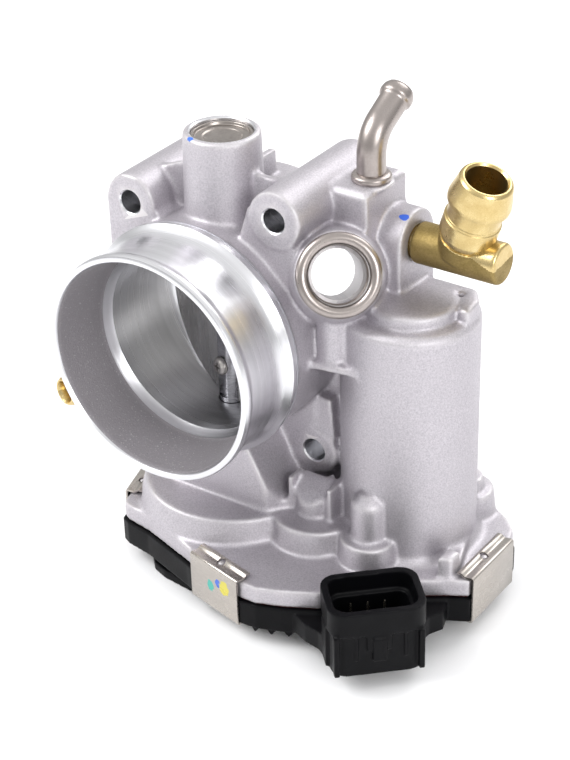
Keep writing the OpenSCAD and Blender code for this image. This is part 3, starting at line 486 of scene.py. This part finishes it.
def eased(path, radius, steps=4):
    """Path of 2-D points in mm with its inner corners rounded off."""
    path = [Vector(p) for p in path]
    out = [path[0]]
    for before, corner, after in zip(path, path[1:], path[2:]):
        reach = min(radius, (before - corner).length * 0.45, (after - corner).length * 0.45)
        first = corner + (before - corner).normalized() * reach
        last = corner + (after - corner).normalized() * reach
        for k in range(steps + 1):
            t = k / steps
            out.append((1 - t) ** 2 * first + 2 * t * (1 - t) * corner + t * t * last)
    return out + [path[-1]]


def finished(piece, body, finish, slot, *replaced, corner=32):
    """Shades a piece, gives it its finish, ties it to its body and hides the CAD nodes it
    replaces.
    """
    soft_corners(piece.data, corner)
    if finish:
        piece.data.materials.clear()
        piece.data.materials.append(finish)
    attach(piece, body)
    if replaced:
        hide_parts(*replaced)
    return piece


# bare drawn steel with a light oil film: brownish grey, soft gloss
drawn_steel = grained("drawn_steel_oiled", "#8B8480", "#A8A19B", 1.4, 0.32, 0.008)
plug = turned("core_plug_cup", eased([[0, 0.3], [6.9, 0.3], [7.3, 0.05], [8.65, 0.05],
              [8.65, 2.3], [7.8, 2.4], [7.5, 1.5], [5.6, 1.5], [5.2, 1.15], [0, 1.15]], 0.25),
              placed((0, SHAFT_Y, PLUG_Z)), 96)
finished(plug, "case", drawn_steel, "zinc_plated_steel", "core_plug")

# ---------------------------------------------------------------------------
# Throttle shaft and plate: a ground steel shaft slotted for a turned disc, held
# by two screws. The plate closes the throat eight degrees off square.
# ---------------------------------------------------------------------------
# ground steel: cool grey, fine marks round the shaft
ground_steel = grained("ground_steel", "#8E8E92", "#BDBDC1", 0.3, 0.24, 0.01,
                       stretch=(0.15, 0.15, 1))
# rolled and faced aluminium disc: bright with faint upright brushing
plate_aluminium = grained("faced_aluminium_sheet", "#A9A8A6", "#D2D1CF", 0.35, 0.27, 0.012,
                          stretch=(1, 1, 0.06))
# zinc plate dulled by handling: soft grey with a fine mottling
zinc_plate = grained("zinc_plated_steel", "#A5A19E", "#C9C5C1", 1.2, 0.33, 0.02)
SHUT_DEG, REST_DEG = 8, 20
PLATE_SCREW_Z, SCREW_HOLE = 15.8, 1.55
SHAFT_R, SHAFT_LOW, SHAFT_HIGH, SHAFT_EDGE = 4, -64.4, 48, 0.3
SLOT_GAP, FLAT_AT = 0.05, -3.4

shaft = turned("throttle_shaft_slotted", [
    [0, SHAFT_LOW], [SHAFT_R - SHAFT_EDGE, SHAFT_LOW], [SHAFT_R, SHAFT_LOW + SHAFT_EDGE],
    [SHAFT_R, SHAFT_HIGH - SHAFT_EDGE], [SHAFT_R - SHAFT_EDGE, SHAFT_HIGH], [0, SHAFT_HIGH]],
    None, 96)
combined(shaft, slab((-10, -1 - SLOT_GAP, -THROAT - SLOT_GAP),
                     (10, 1 + SLOT_GAP, THROAT + SLOT_GAP)))
combined(shaft, slab((-10, -10, -THROAT + 1.6), (10, FLAT_AT, THROAT - 1.6)))
for z in (-PLATE_SCREW_Z, PLATE_SCREW_Z):
    combined(shaft, rod(SCREW_HOLE, -10, 10, placed((0, 0, z), *ALONG_Y), segments=32))
plate = rod(THROAT - 0.12, -20, 20, placed((0, 0, 0), *ALONG_Y), segments=160)
plate.name = "throttle_plate_disc"
tilt = Matrix.Rotation(math.radians(SHUT_DEG), 4, "Z")
plate.data.transform(tilt)
combined(plate, slab((-40, -1, -THROAT + 0.15), (40, 1, THROAT - 0.15)), "INTERSECT")
for z in (-PLATE_SCREW_Z, PLATE_SCREW_Z):
    combined(plate, rod(SCREW_HOLE, -10, 10, placed((0, 0, z), *ALONG_Y), segments=32))
for piece in (shaft, plate):
    piece.data.transform(Matrix.Translation((0, SHAFT_Y * MM, 0))
                         @ Matrix.Rotation(math.radians(-REST_DEG), 4, "Z"))
finished(shaft, "throttle", ground_steel, "bearing_steel", "throttle_shaft")
finished(plate, "throttle", plate_aluminium, "machined_aluminium", "throttle_plate")

screw = turned("screw", eased([[0, -4.0 + 0.6], [2.8, -4.0 + 0.55], [2.7, -4.4], [2.1, -5.1],
               [0, -5.2]], 0.3), placed((0, 0, 0), *ALONG_Y), 40)
combined(screw, rod(1.45, -3.6, 3.9, placed((0, 0, 0), *ALONG_Y), segments=32), "UNION")
for turn in (0, 1):
    cut = slab((-0.28, -6, -1.35), (0.28, -4.35, 1.35))
    cut.data.transform(Matrix.Rotation(turn * math.pi / 2, 4, "Y"))
    combined(screw, cut)
screw.data.transform(Matrix.Rotation(math.radians(-REST_DEG), 4, "Z"))

# Geometry Nodes tree that sets one item at every point of a row
row_of = bpy.data.node_groups.new("items_in_a_row", "GeometryNodeTree")
for name, kind in (("Item", "NodeSocketObject"), ("Count", "NodeSocketInt"),
                   ("First", "NodeSocketVector"), ("Step", "NodeSocketVector"),
                   ("Finish", "NodeSocketMaterial")):
    row_of.interface.new_socket(name, in_out="INPUT", socket_type=kind)
row_of.interface.new_socket("Geometry", in_out="OUTPUT", socket_type="NodeSocketGeometry")
given = add(row_of, "NodeGroupInput").outputs
line = add(row_of, "GeometryNodeMeshLine", {"Count": given["Count"],
           "Start Location": given["First"], "Offset": given["Step"]}, mode="OFFSET")
item = add(row_of, "GeometryNodeObjectInfo", {"Object": given["Item"]})
placed_items = add(row_of, "GeometryNodeInstanceOnPoints", {"Points": line.outputs["Mesh"],
                   "Instance": item.outputs["Geometry"]})
solid = add(row_of, "GeometryNodeRealizeInstances",
            {"Geometry": placed_items.outputs["Instances"]})
painted = add(row_of, "GeometryNodeSetMaterial", {"Geometry": solid.outputs["Geometry"],
              "Material": given["Finish"]})
add(row_of, "NodeGroupOutput", {"Geometry": painted.outputs["Geometry"]})


def grown(name, tree, **sizes):
    """Plain mesh that a Geometry Nodes tree makes from its named inputs."""
    made = mesh_object(name, bpy.data.meshes.new(name))
    step = made.modifiers.new(name, "NODES")
    step.node_group = tree
    for item in tree.interface.items_tree:
        if item.in_out == "INPUT":
            step[item.identifier] = sizes[item.name]
    return applied(made)


screws = grown("plate_screws_pair", row_of, Item=screw, Count=2,
               First=Vector((0, SHAFT_Y, -PLATE_SCREW_Z)) * MM,
               Step=Vector((0, 0, 2 * PLATE_SCREW_Z)) * MM, Finish=zinc_plate)
bpy.data.objects.remove(screw)
finished(screws, "throttle", None, "zinc_plated_steel", "plate_screws")

# ---------------------------------------------------------------------------
# Bearings and seal: a needle bearing above the throat, a plain ball bearing and
# a lip seal below it, all pressed into the casting.
# ---------------------------------------------------------------------------
dress("upper_bearing", ground_steel)
dress("lower_bearing", ground_steel)
# nitrile rubber: near black, matt, with a faint bloom
nitrile = grained("nitrile_rubber", "#141414", "#242424", 0.8, 0.62, 0.02, metallic=0)
dress("shaft_seal", nitrile)

# ---------------------------------------------------------------------------
# Gear train: moulded sector on the shaft end, moulded two-step idler on a ground
# pin, return spring and the limp-home stop screw.
# ---------------------------------------------------------------------------
# unfilled nylon: warm ivory, slightly waxy
ivory_nylon = grained("moulded_ivory_nylon", "#D5CDB6", "#E2DCC8", 1.5, 0.42, 0.02, metallic=0)
# oil-tempered spring wire: dark grey with drawing marks
spring_wire = grained("oil_tempered_spring_wire", "#4E4E52", "#77777B", 0.4, 0.36, 0.01)
# sintered ferrite: charcoal and dull
sintered_ferrite = grained("sintered_ferrite", "#26272B", "#3A3B40", 0.5, 0.6, 0.03, metallic=0)
for node in ("sector_gear", "intermediate_gear"):
    dress(node, ivory_nylon)
dress("sensor_magnets", sintered_ferrite)
dress("return_spring", spring_wire)
dress("stop_screw", zinc_plate)
dress("intermediate_pin", ground_steel)

# ---------------------------------------------------------------------------
# Motor: a drawn can with a pressed end plate, held by two screws in the tower,
# with a spring washer above it, a sintered pinion and two tinned terminals.
# ---------------------------------------------------------------------------
# sintered bronze: brownish yellow, slightly porous
sintered_bronze = grained("sintered_bronze", "#9C7A42", "#BE9A5A", 0.3, 0.42, 0.02)
# bright tin over copper alloy: warm white, soft gloss
bright_tin = grained("bright_tinned_copper", "#B9B3A2", "#D9D4C6", 0.6, 0.25, 0.008)
for node in ("motor_can", "motor_end_plate", "motor_screws"):
    dress(node, zinc_plate)
dress("wave_washer", spring_wire)
dress("motor_pinion", sintered_bronze)
dress("motor_terminals", bright_tin)

# ---------------------------------------------------------------------------
# Port ferrule: a thin steel sleeve curled over at its mouth, nickel plated and
# pressed into the side port.
# ---------------------------------------------------------------------------
FERRULE_IN, FERRULE_OUT = 8.1, 11.5
# satin nickel plate: warm grey, soft reflections
satin_nickel = grained("satin_nickel_plate", "#9F9793", "#ABA39F", 0.7, 0.32, 0.004)
curl = (FERRULE_OUT - FERRULE_IN) / 2
curled = [[FERRULE_IN + curl + curl * math.cos(a), curl * math.sin(a)]
          for a in (math.radians(d) for d in range(-100, 181, 14))]
ferrule = turned("curled_port_ferrule", [[FERRULE_IN + 1, -7.3], [FERRULE_IN + 1, -1.85]]
                 + curled + [[FERRULE_IN, -5.2], [FERRULE_IN - 0.35, -5.5],
                             [FERRULE_IN - 0.35, -7.3]], AT_PORT, 128)
finished(ferrule, "case", satin_nickel, "nickel_steel", "port_ferrule")

# ---------------------------------------------------------------------------
# Coolant tube: drawn 8 mm steel tube, bent, beaded at its free end and at its
# foot, satin nickel plated and pressed into the coolant block.
# ---------------------------------------------------------------------------
TUBE_R, TUBE_WALL = 4, 0.9
TUBE_RISE, TUBE_BEND_R, TUBE_RUN = 7.5, 9, 11
TUBE_BEND = math.radians(61)

# Geometry Nodes tree that sweeps a round section along the piece's own path
tube_tree = bpy.data.node_groups.new("round_tube_on_a_path", "GeometryNodeTree")
for name, kind in (("Path", "NodeSocketObject"), ("Radius", "NodeSocketFloat"),
                   ("Sides", "NodeSocketInt"), ("Finish", "NodeSocketMaterial")):
    tube_tree.interface.new_socket(name, in_out="INPUT", socket_type=kind)
tube_tree.interface.new_socket("Geometry", in_out="OUTPUT", socket_type="NodeSocketGeometry")
given = add(tube_tree, "NodeGroupInput").outputs
path = add(tube_tree, "GeometryNodeObjectInfo", {"Object": given["Path"]})
curve = add(tube_tree, "GeometryNodeMeshToCurve", {"Mesh": path.outputs["Geometry"]})
section = add(tube_tree, "GeometryNodeCurvePrimitiveCircle", {"Radius": given["Radius"],
              "Resolution": given["Sides"]})
swept = add(tube_tree, "GeometryNodeCurveToMesh", {"Curve": curve.outputs["Curve"],
            "Profile Curve": section.outputs["Curve"], "Fill Caps": True})
solid = add(tube_tree, "GeometryNodeRealizeInstances", {"Geometry": swept.outputs["Mesh"]})
painted = add(tube_tree, "GeometryNodeSetMaterial", {"Geometry": solid.outputs["Geometry"],
              "Material": given["Finish"]})
add(tube_tree, "NodeGroupOutput", {"Geometry": painted.outputs["Geometry"]})


def tube_path(foot, overrun):
    """Line of points up the tube's centre, from foot below the block face."""
    turn = [TUBE_BEND * k / 24 for k in range(25)]
    points = [Vector((0, 0, -foot))]
    points += [Vector((0, TUBE_BEND_R * (1 - math.cos(a)), TUBE_RISE + TUBE_BEND_R * math.sin(a)))
               for a in turn]
    points.append(points[-1] + (TUBE_RUN + overrun)
                  * Vector((0, math.sin(TUBE_BEND), math.cos(TUBE_BEND))))
    bm = bmesh.new()
    verts = [bm.verts.new((p + TUBE_AT) * MM) for p in points]
    for pair in zip(verts, verts[1:]):
        bm.edges.new(pair)
    mesh = bpy.data.meshes.new("path")
    bm.to_mesh(mesh)
    bm.free()
    return mesh_object("path", mesh), points[-1]


def closed(piece):
    """Welds a swept solid and turns its faces outwards."""
    bm = bmesh.new()
    bm.from_mesh(piece.data)
    bmesh.ops.remove_doubles(bm, verts=bm.verts, dist=1e-7)
    bmesh.ops.recalc_face_normals(bm, faces=bm.faces)
    bm.to_mesh(piece.data)
    bm.free()
    return piece


line, end = tube_path(9.5, 0)
tube = closed(grown("bent_coolant_tube", tube_tree, Path=line, Radius=TUBE_R * MM, Sides=64,
                    Finish=satin_nickel))
bpy.data.objects.remove(line)
combined(tube, turned("tool", eased([[0, 0.1], [5.1, 0.1], [5.6, 0.9], [5.45, 1.9], [4.6, 2.4],
         [3.9, 2.5], [0, 2.5]], 0.5), placed(TUBE_AT)), "UNION")
combined(tube, turned("tool", eased([[0, 6.2], [3.9, 6.2], [4.1, 7], [4.7, 7.8], [4.75, 9],
         [4.5, 10.2], [3.9, TUBE_RUN], [0, TUBE_RUN]], 0.7),
         placed(TUBE_AT + end - TUBE_RUN * Vector((0, math.sin(TUBE_BEND), math.cos(TUBE_BEND))),
                ("X", -TUBE_BEND))), "UNION")
line, _ = tube_path(10, 1)
bore = closed(grown("tool", tube_tree, Path=line, Radius=(TUBE_R - TUBE_WALL) * MM, Sides=48,
                    Finish=satin_nickel))
bpy.data.objects.remove(line)
combined(tube, bore)
finished(tube, "case", satin_nickel, "nickel_steel", "coolant_tube")

# ---------------------------------------------------------------------------
# Brass union: a forged rod screwed into the coolant block, with a hose barb
# turned on its end lug and drilled through.
# ---------------------------------------------------------------------------
ROD_R, ROD_END, BARB_AT, BARB_LEN = 5.8, 77, 63.8, 26.4
AT_BARB = placed((BARB_AT, UNION_AT.y, UNION_AT.z), ("Y", math.radians(20)),
                 ("X", math.radians(6)))
AT_ROD = placed((0, UNION_AT.y, UNION_AT.z), *ALONG_X)
# forged brass: dull ochre with a pickled, sandy skin
forged_brass = grained("forged_brass", "#857346", "#A08C5C", 0.5, 0.54, 0.06)
# turned brass: bright yellow with fine tool rings
turned_brass = grained("turned_brass", "#C2A972", "#D6C28E", 0.3, 0.3, 0.004)
union = turned("brass_hose_union", [[0, 50.75], [4.4, 50.75], [ROD_R, 51.5], [ROD_R, 76.4],
               [5.2, ROD_END], [0, ROD_END]], AT_ROD, 96)
combined(union, rod(6.4, 0, 5.2, AT_BARB, 7), "UNION")
mould_softened(union, grain=0.3, passes=7, triangles=30000)
combined(union, rod(4.5, 38.8, 52, AT_ROD), "UNION")
combined(union, turned("tool", eased([[0, 3.2], [6.2, 3.2], [6.6, 5.2], [7.6, 6.8], [7.85, 7.8],
         [7.85, 12.7], [7.5, 12.9], [7.5, 13.3], [7.3, 13.6], [7.3, 18], [8.6, 18.3],
         [8.65, 19.6], [7.3, 25.6], [6.9, 26.1], [6.5, BARB_LEN], [0, BARB_LEN]], 0.12),
         AT_BARB), "UNION")
combined(union, rod(3, 37, BARB_AT, AT_ROD, segments=48))
combined(union, turned("tool", [[0, 0], [3.4, 0], [3.4, 5], [5.6, 6.2], [5.6, 25.8],
         [6.1, BARB_LEN], [6.1, 28], [0, 28]], AT_BARB, 96))
soft_corners(union.data)
union.data.materials.clear()
union.data.materials.append(forged_brass)
union.data.materials.append(turned_brass)
barb_frame = AT_BARB.inverted()
for face in union.data.polygons:
    point = barb_frame @ face.center / MM
    face.material_index = int(point.z > 4.9 or face.center.x < 50.8 * MM)
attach(union, "case")
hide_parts("brass_union")

# ---------------------------------------------------------------------------
# Vacuum nipple: turned brass tube with a hose bead, pressed into the far side.
# ---------------------------------------------------------------------------
AT_NIPPLE = placed((-42, -55.5, -26.3), ("Z", math.radians(-15)), ("X", math.pi / 2))
nipple = turned("vacuum_nipple_tube", [[2.6, -31.6], [3.5, -31.6], [3.5, -3.6], [3.9, -3],
                [4.5, -2.2], [4.6, -1.7], [4.5, -1], [4.2, -0.4], [3.9, 0], [3.5, 0],
                [3.2, -0.5], [2.6, -3]], AT_NIPPLE, 64)
finished(nipple, "case", turned_brass, "brass", "vacuum_nipple")

# ---------------------------------------------------------------------------
# Gear cover: one moulding in black glass-filled nylon with the connector shell,
# stiffening ribs and a pocket; its corners keep the mould's small radii.
# ---------------------------------------------------------------------------
# glass-filled nylon, fine spark-eroded texture: blue-black satin
black_nylon = grained("black_glass_filled_nylon", "#040406", "#08080B", 0.45, 0.46, 0.02,
                      metallic=0)
black_nylon.node_tree.nodes["Principled BSDF"].inputs["Specular IOR Level"].default_value = 0.12
cover = merged_copy("gear_cover_moulding", "gear_cover")
mould_softened(cover, grain=0.34, passes=4, triangles=170000)
finished(cover, "case", black_nylon, "black_nylon", "gear_cover", corner=40)

# ---------------------------------------------------------------------------
# Connector pins: six square tinned pins in two rows of three, with coined tips,
# moulded through the floor of the shell.
# ---------------------------------------------------------------------------
CONNECTOR_AT, CONNECTOR_TURN = Vector((66, -58, 0)), math.radians(43.6)
PIN_PITCH, PIN_SHIFT, PIN_ROW, PIN_W = 4.7, -1, 2.2, 0.64
PIN_FOOT, PIN_TIP = -73.8, -57.9
bm = bmesh.new()
rings = []
for half, z in ((PIN_W / 2, PIN_FOOT), (PIN_W / 2, PIN_TIP - 1.2), (PIN_W / 4, PIN_TIP - 0.2),
                (PIN_W / 8, PIN_TIP)):
    rings.append([bm.verts.new(Vector((a * half, b * half, z)) * MM)
                  for a, b in ((-1, -1), (1, -1), (1, 1), (-1, 1))])
bm.faces.new(rings[0][::-1])
bm.faces.new(rings[-1])
for low, high in zip(rings, rings[1:]):
    for k in range(4):
        bm.faces.new((low[k], low[(k + 1) % 4], high[(k + 1) % 4], high[k]))
mesh = bpy.data.meshes.new("pin")
bm.transform(Matrix.Rotation(CONNECTOR_TURN, 4, "Z"))
bm.to_mesh(mesh)
bm.free()
pin = mesh_object("pin", mesh)
turn = Matrix.Rotation(CONNECTOR_TURN, 3, "Z")
rows = [grown("connector_pins_row", row_of, Item=pin, Count=3,
              First=(CONNECTOR_AT + turn @ Vector((PIN_SHIFT - PIN_PITCH, side_y, 0))) * MM,
              Step=turn @ Vector((PIN_PITCH, 0, 0)) * MM, Finish=bright_tin)
        for side_y in (-PIN_ROW, PIN_ROW)]
bpy.data.objects.remove(pin)
for row in rows:
    finished(row, "case", None, "tinned_copper", "connector_pins")

# ---------------------------------------------------------------------------
# Gasket and sensor board: a silicone bead between case and cover, and the
# lacquered board that reads the magnets.
# ---------------------------------------------------------------------------
# silicone: brick red, soft satin
red_silicone = grained("moulded_silicone", "#4A1715", "#5E211D", 0.9, 0.5, 0.02, metallic=0)
# solder resist over glass epoxy: deep green, glossy
solder_resist = grained("solder_resist_on_epoxy", "#123A26", "#1C4D33", 0.7, 0.28, 0.01,
                        metallic=0)
dress("cover_gasket", red_silicone)
dress("sensor_board", solder_resist)

# ---------------------------------------------------------------------------
# Spring clips: 0.6 mm stainless strip bent to a C round case and cover, with a
# groove, a curled lip and a hole that snaps over the cast nub.
# ---------------------------------------------------------------------------
STRIP, CLIP_OUT = 0.6, 1.05
CLIP_TOP, CLIP_BOT = CASE_Z + 0.42, -73.6 - 0.42
# cold-rolled stainless strip: warm satin grey, faint rolling lines
rolled_stainless = grained("rolled_stainless_strip", "#AEA8A2", "#B9B3AC", 0.5, 0.3, 0.004,
                           stretch=(0.3, 0.3, 1))
# lacquer dots on the front clip: sea green, blue and yellow
daubed(rolled_stainless, ((16.4, -65.6, -66.2), (1.4, 1.4, 1.8), "#3FA79A"),
       ((19.7, -66.4, -63.8), (1.2, 1.2, 1.4), "#3E66C4"),
       ((22.3, -67, -64.2), (2, 2, 2.4), "#C9BE4E"))


def strip_clip(name):
    """C clip on one edge of the gear case: a rounded path given its thickness."""
    middle, along, outward, length = at_edge(name)
    path = eased([(-2.9, CLIP_BOT), (CLIP_OUT, CLIP_BOT), (CLIP_OUT, CLIP_TOP + 0.4),
                  (-1.7, CLIP_TOP), (-2.8, CLIP_TOP + 0.98), (-3.9, CLIP_TOP + 0.7)], 0.7)
    sides = []
    for k, point in enumerate(path):
        run = path[min(k + 1, len(path) - 1)] - path[max(k - 1, 0)]
        normal = Vector((-run.y, run.x)).normalized() * STRIP / 2
        sides.append((point + normal, point - normal))
    outline = [a for a, _ in sides] + [b for _, b in reversed(sides)]
    bm = bmesh.new()
    rings = []
    for t in (-length / 2 + 0.3, length / 2 - 0.3):
        rings.append([bm.verts.new(Vector((*(middle + t * along + q.x * outward), q.y)) * MM)
                      for q in outline])
    count = len(outline)
    for k in range(count):
        bm.faces.new((rings[0][k], rings[0][(k + 1) % count], rings[1][(k + 1) % count],
                      rings[1][k]))
    for ring in rings:
        half = count // 2
        for k in range(half - 1):
            bm.faces.new((ring[k], ring[k + 1], ring[count - 2 - k], ring[count - 1 - k]))
    bmesh.ops.recalc_face_normals(bm, faces=bm.faces)
    mesh = bpy.data.meshes.new(name)
    bm.to_mesh(mesh)
    bm.free()
    clip = mesh_object(f"spring_clip_{name}", mesh)
    x, y = middle - NUB_IN * outward
    combined(clip, rod(1.3, -2, 3, placed((x, y, CASE_Z)), segments=40))
    modified(clip, "BEVEL", width=0.09 * MM, segments=2, limit_method="ANGLE",
             angle_limit=math.radians(50))
    return finished(clip, "case", rolled_stainless, "stainless", f"clip_{name}", corner=35)


for name in EDGES:
    strip_clip(name)

# ---------------------------------------------------------------------------
# Studio: pale sweep and soft lights.
# ---------------------------------------------------------------------------
floor_z = cad_low.z
bm = bmesh.new()
for x, y in ((-3, -3), (3, -3), (3, 3), (-3, 3)):
    bm.verts.new((x, y, floor_z - 0.0002))
bm.faces.new(bm.verts)
mesh = bpy.data.meshes.new("floor")
bm.to_mesh(mesh)
bm.free()
floor = mesh_object("floor", mesh)
# matt white card
paper, tree, shader = finish_of("white_studio_card", Roughness=0.7)
shader.inputs["Base Color"].default_value = colour("#F8F8F9")
floor.data.materials.append(paper)

world = bpy.data.worlds.new("studio")
world.use_nodes = True
sky = world.node_tree
ramp = add(sky, "ShaderNodeMapRange", {"Value": add(sky, "ShaderNodeSeparateXYZ",
           {"Vector": add(sky, "ShaderNodeTexCoord").outputs["Generated"]}).outputs["Z"],
           "From Min": -0.1, "From Max": 0.75, "To Min": 0.42, "To Max": 1.0})
sky.links.new(ramp.outputs["Result"], sky.nodes["Background"].inputs["Strength"])
sky.nodes["Background"].inputs["Color"].default_value = (1, 1, 1, 1)
scene.world = world
scene.view_settings.view_transform = "Standard"
for name, at, size, power in (("key", (-0.8, -0.7, 1.0), 0.8, 15),
                              ("fill", (1.0, -0.5, 0.5), 0.5, 5),
                              ("back", (0.2, 1.0, 0.9), 0.9, 8)):
    lamp = bpy.data.objects.new(name, bpy.data.lights.new(name, "AREA"))
    lamp.data.shape, lamp.data.size, lamp.data.energy = "SQUARE", size, power
    lamp.location = at
    lamp.rotation_mode = "QUATERNION"
    lamp.rotation_quaternion = (-Vector(at)).to_track_quat("-Z", "Y")
    scene.collection.objects.link(lamp)
